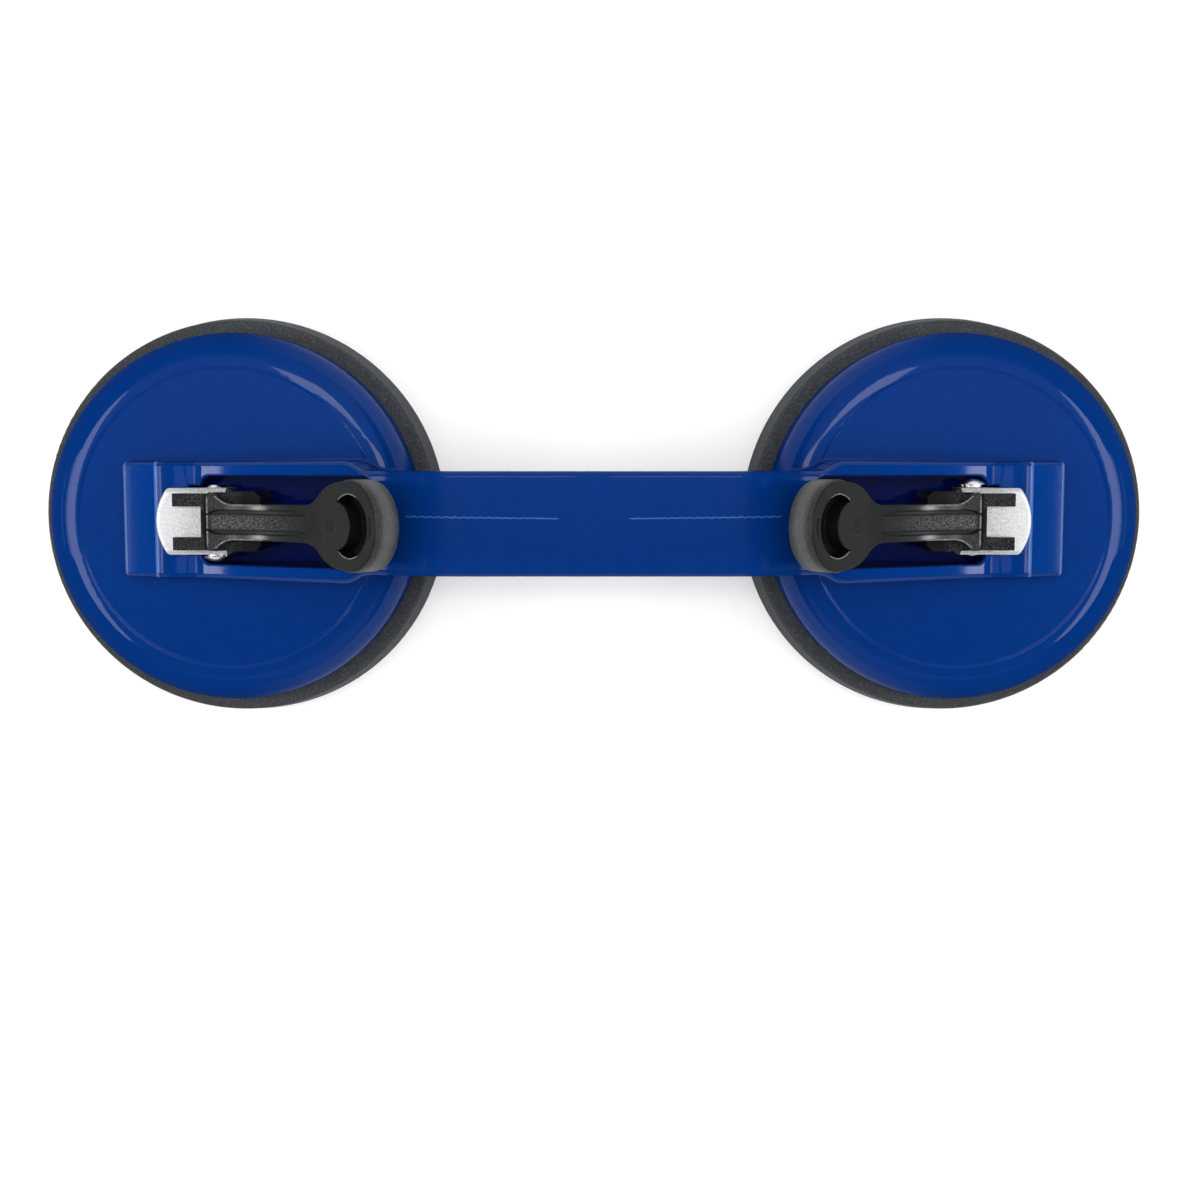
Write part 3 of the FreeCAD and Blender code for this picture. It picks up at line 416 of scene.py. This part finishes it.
def ridge(name, seats, width, height, finish, body, closed=False):
    """A low rounded ridge along places on a surface, tapering at its ends."""
    points = 7              # round its half-round section
    sunk = 0.15 * height    # so that its flat side is under the surface
    blunt = 0.35            # of a step is left at the very tip of the taper
    taper_steps = 3
    shape = bmesh.new()
    rows = []
    last = len(seats) - 1
    for i, (place, facing) in enumerate(seats):
        if closed:
            before, after = seats[i - 1][0], seats[(i + 1) % len(seats)][0]
            taper = 1.0
        else:
            before, after = seats[max(0, i - 1)][0], seats[min(last, i + 1)][0]
            taper = min(1.0, (min(i, last - i) + blunt) / taper_steps)
        line = (after - before).normalized()
        across = facing.cross(line).normalized()
        rows.append([])
        for j in range(points):
            angle = math.pi * j / (points - 1)
            rows[-1].append(shape.verts.new(
                place + across * (0.5 * width * taper * math.cos(angle))
                + facing * (height * taper * math.sin(angle) - sunk)))
    for first, second in zip(rows, rows[1:] + rows[:1] if closed else rows[1:]):
        for j in range(points):
            k = (j + 1) % points
            shape.faces.new((first[j], first[k], second[k], second[j]))
    if not closed:
        shape.faces.new(rows[0])
        shape.faces.new(rows[-1][::-1])
    bmesh.ops.recalc_face_normals(shape, faces=shape.faces)
    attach(smooth_piece(name, shape, finish), body)


def parting_bead(side, sign):
    """The wavy line that the mould's two halves left along the top of the grip, its paint
    painted lighter as a painted highlight.
    """
    skin = surface("handle_body")
    outer, inner = 0.0484, 0.0088       # its ends, from the middle of the handle
    y_outer, y_inner = 0.0019, 0.00145
    ripples = ((0.00013, 2900, 0), (0.00009, 7300, 1.3))    # swing, pace and start of each
    seats = []
    for share in steps(150):
        x = outer + (inner - outer) * share
        wave = sum(swing * math.sin(x * pace + start) for swing, pace, start in ripples)
        y = y_outer + (y_inner - y_outer) * share + wave * (1.15 - share)
        seats.append(seat(skin, sign * x, y))
    ridge(f"{side}_parting_bead", seats, 0.00042, 0.00009, PARTING_LINE_HIGHLIGHT, "handle")


def bar_lip(side, sign, skin):
    """The raised edge of the bar that the prongs stand on, painted pale as a painted
    highlight.
    """
    reach, half = 0.0009, 0.0069
    seats = [seat(skin, sign * (END_X - reach), half * (2 * share - 1)) for share in steps(41)]
    ridge(f"{side}_bar_lip", seats, 0.00055, 0.0003, EDGE_HIGHLIGHT_PLASTIC, f"{side}_release")


def flare_edge(side, sign, skin, half):
    """The raised edge along one side of the arm, where it widens into the bar, painted pale as
    a painted highlight.
    """
    start, end = 0.0026, 0.0171     # reach
    widest, narrowest = 0.0072, 0.003
    drop = 0.0009                   # past the edge, the arm's side lies lower than this
    inset = 0.0003
    seats = []
    for share in steps(60):
        x = sign * (END_X - start - (end - start) * share)
        top = seat(skin, x, 0.0)[0].z
        y = widest
        while (seat(skin, x, half * y)[0] or Vector()).z < top - drop and y > narrowest:
            y -= SEARCH_STEP
        seats.append(seat(skin, x, half * (y - inset)))
    smooth = []
    for i in range(len(seats)):
        near = seats[max(0, i - 2):i + 3]
        middle = sum((place for place, _ in near), Vector()) / len(near)
        smooth.append((middle, seats[i][1]))
    name = f"{side}_flare_edge_{'back' if half > 0 else 'front'}"
    ridge(name, smooth, 0.00045, 0.0002, EDGE_HIGHLIGHT_PLASTIC, f"{side}_release")


def ring_face(sign, reach, radius, turn):
    """A place on the plane of the finger ring's face, and the way it faces. It lies at
    radius from the place at that reach, turned from the side nearer the handle's middle."""
    reach += radius * math.cos(turn) * math.cos(RING_TILT)
    rise = (reach - RING_REACH) * math.tan(RING_TILT)
    facing = Vector((sign * math.sin(RING_TILT), 0, math.cos(RING_TILT)))
    return Vector((sign * (END_X - reach), radius * math.sin(turn), RING_Z + rise)), facing


def ring_marks(side, sign):
    """Rings that the ejector pin left on the arm, and a scuffed lip beside the pocket."""
    ejector_reach, ejector_radii = 0.0373, (0.0008, 0.0016)
    for number, radius in enumerate(ejector_radii):
        seats = [ring_face(sign, ejector_reach, radius, 2 * math.pi * i / 48)
                 for i in range(48)]
        ridge(f"{side}_ejector_ring_{number}", seats, 0.0003, 0.00007, BLACK_PLASTIC,
              f"{side}_release", closed=True)
    lip_radius, lip_angle = 0.009, math.radians(16)
    seats = [ring_face(sign, RING_REACH, lip_radius, lip_angle * (2 * share - 1))
             for share in steps(30)]
    ridge(f"{side}_pocket_lip", seats, 0.0006, 0.00006, BLACK_PLASTIC, f"{side}_release")


def pocket_rims(side, sign, skin):
    """Thin flash along the pocket's edge at each of its two horns, painted pale as a painted
    highlight.
    """
    first, last = math.radians(62), math.radians(128)
    outside, inside = 0.0098, 0.004     # radii between which the edge is looked for
    drop = 0.0007                       # the pocket's floor lies lower than this
    outset = 0.0002
    fewest = 8                          # places that make a rim
    for half, word in ((1, "back"), (-1, "front")):
        seats = []
        for share in steps(40):
            turn = half * (first + (last - first) * share)
            radius = outside
            while radius > inside:
                level = ring_face(sign, RING_REACH, radius, turn)[0]
                below = seat(skin, level.x, level.y)[0]
                if below and level.z - below.z > drop:
                    break
                radius -= SEARCH_STEP
            if radius > inside:
                seats.append(ring_face(sign, RING_REACH, radius + outset, turn))
        if len(seats) > fewest:
            ridge(f"{side}_pocket_rim_{word}", seats, 0.0003, 0.00008, EDGE_HIGHLIGHT_PLASTIC,
                  f"{side}_release")


for side, sign in ENDS:
    lever_skin = surface(f"{side}_lever")
    parting_bead(side, sign)
    bar_lip(side, sign, lever_skin)
    flare_edge(side, sign, lever_skin, 1)
    flare_edge(side, sign, lever_skin, -1)
    ring_marks(side, sign)
    pocket_rims(side, sign, lever_skin)


# Stage: pale floor, soft light, the photograph's camera

def floor():
    """A round pale floor that curves up into a wall, with no edge to be seen."""
    flat, bend, wall_top = 4.5, 1.5, 3.2
    below_pads = 0.00005
    turns = 96
    profile = [(0.3, 0), (1.0, 0), (2.5, 0)]
    for share in steps(9):
        angle = math.pi / 2 * share
        profile.append((flat + bend * math.sin(angle), bend - bend * math.cos(angle)))
    profile.append((flat + bend, wall_top))
    shape = bmesh.new()
    rings = []
    for radius, height in profile:
        rings.append([shape.verts.new((radius * math.cos(2 * math.pi * i / turns),
                                       radius * math.sin(2 * math.pi * i / turns), height))
                      for i in range(turns)])
    shape.faces.new(rings[0])
    for inner, outer in zip(rings, rings[1:]):
        for i in range(turns):
            k = (i + 1) % turns
            shape.faces.new((inner[i], outer[i], outer[k], inner[k]))
    piece = smooth_piece("floor", shape, floor_paint())
    piece.location.z = -below_pads


def floor_paint():
    """Matt pale paint. Seen by the camera or in gloss it glows, more so further away."""
    pale = Finish("pale_floor", specular_ior_level=0.0, emission_strength=1.0)
    cloud = pale.noise(0.4, 2)
    grain = pale.noise(0.002, 3)
    pale.set(base_color=pale.blend(cloud * 0.5 + grain * 0.5, (0.76, 0.76, 0.76),
                                   (0.8, 0.8, 0.8)),
             roughness=0.8 + 0.1 * grain)
    radius = (pale.axis("X") ** 2 + pale.axis("Y") ** 2) ** 0.5
    seen = sum(pale.node("ShaderNodeLightPath", output=f"Is {ray} Ray")
               for ray in ("Camera", "Glossy", "Transmission"))
    glow = seen * (0.25 + 0.7 * radius.between(0.3, 2.6))
    pale.set(emission_color=pale.blend(glow, (0, 0, 0), (1, 1, 1)))
    return pale.material


def softbox(name, place, aim, size, power, mirrored=True, gloss=True):
    """A soft rectangular lamp, with its twin at the other end of the lifter. The first
    of its sizes lies in the plane of X and Z, the second runs along Y."""
    for sign in ((-1, 1) if mirrored else (1,)):
        lamp = bpy.data.lights.new(name, "AREA")
        lamp.shape = "RECTANGLE"
        lamp.size, lamp.size_y = size
        lamp.energy = power
        holder = bpy.data.objects.new(name, lamp)
        holder.location = (sign * place[0], place[1], place[2])
        end = Vector((sign * aim[0], aim[1], aim[2]))
        line = (holder.location - end).normalized()
        holder.rotation_euler = (-math.asin(line.y), math.atan2(line.x, line.z), 0)
        holder.visible_glossy = gloss
        bpy.context.collection.objects.link(holder)


def studio():
    """A dim room, lighter behind and in front, and lamps that gather on the gloss."""
    world = bpy.data.worlds.new("studio")
    bpy.context.scene.world = world
    sky = Nodes(world, "Background", "Generated")
    side = abs(sky.axis("X"))
    back = sky.axis("Y")
    behind = 0.42 * back.between(-0.16, 0.09)
    in_front = 0.4 * back.between(-0.3, -0.5)
    light = (0.09 + behind + in_front) * (1.05 - side.between(0.42, 0.6))
    sky.shader.inputs["Color"].default_value = (1, 1, 1, 1)
    sky.links.new(light.socket, sky.shader.inputs["Strength"])
    softbox("fill", place=(0.0, 0.1, 1.5), aim=(0, 0, 0), size=(1.6, 1.6), power=12.6,
            mirrored=False, gloss=False)
    # the crescent on each cap's outer side
    softbox("end_light", place=(0.655, -0.035, 0.95), aim=(0.147, 0, 0.023),
            size=(0.15, 0.5), power=1.6)
    # the patch on the crown behind the grip
    softbox("back_light", place=(0.185, 0.195, 1.2), aim=(0.07, 0.03, 0.023),
            size=(0.33, 0.12), power=0.85)
    # the lines on the boss's cross edges
    softbox("edge_light", place=(0.819, 0.0, 0.745), aim=(0.118, 0, 0.032),
            size=(0.2, 0.3), power=1.1)
    # the patches at the ramp's foot, beside the clip
    softbox("low_light", place=(0.998, 0.0, 0.485), aim=(0.105, 0, 0.034),
            size=(0.138, 0.3), power=1.8)


def camera():
    """Nearly straight above the middle. Place, turn, lens and shifts are fitted to the
    outlines of the pads and caps."""
    lens = bpy.data.cameras.new("camera")
    lens.sensor_width = 36.0
    lens.lens = 37.921
    lens.shift_x = 0.00515
    lens.shift_y = -0.03544
    lens.clip_start = 0.01
    eye = bpy.data.objects.new("camera", lens)
    eye.location = (0, 0.014708, 0.380)
    eye.rotation_euler = (-0.072, 0, 0)
    bpy.context.collection.objects.link(eye)
    bpy.context.scene.camera = eye


floor()
studio()
camera()
bpy.context.scene.view_settings.view_transform = "Standard"
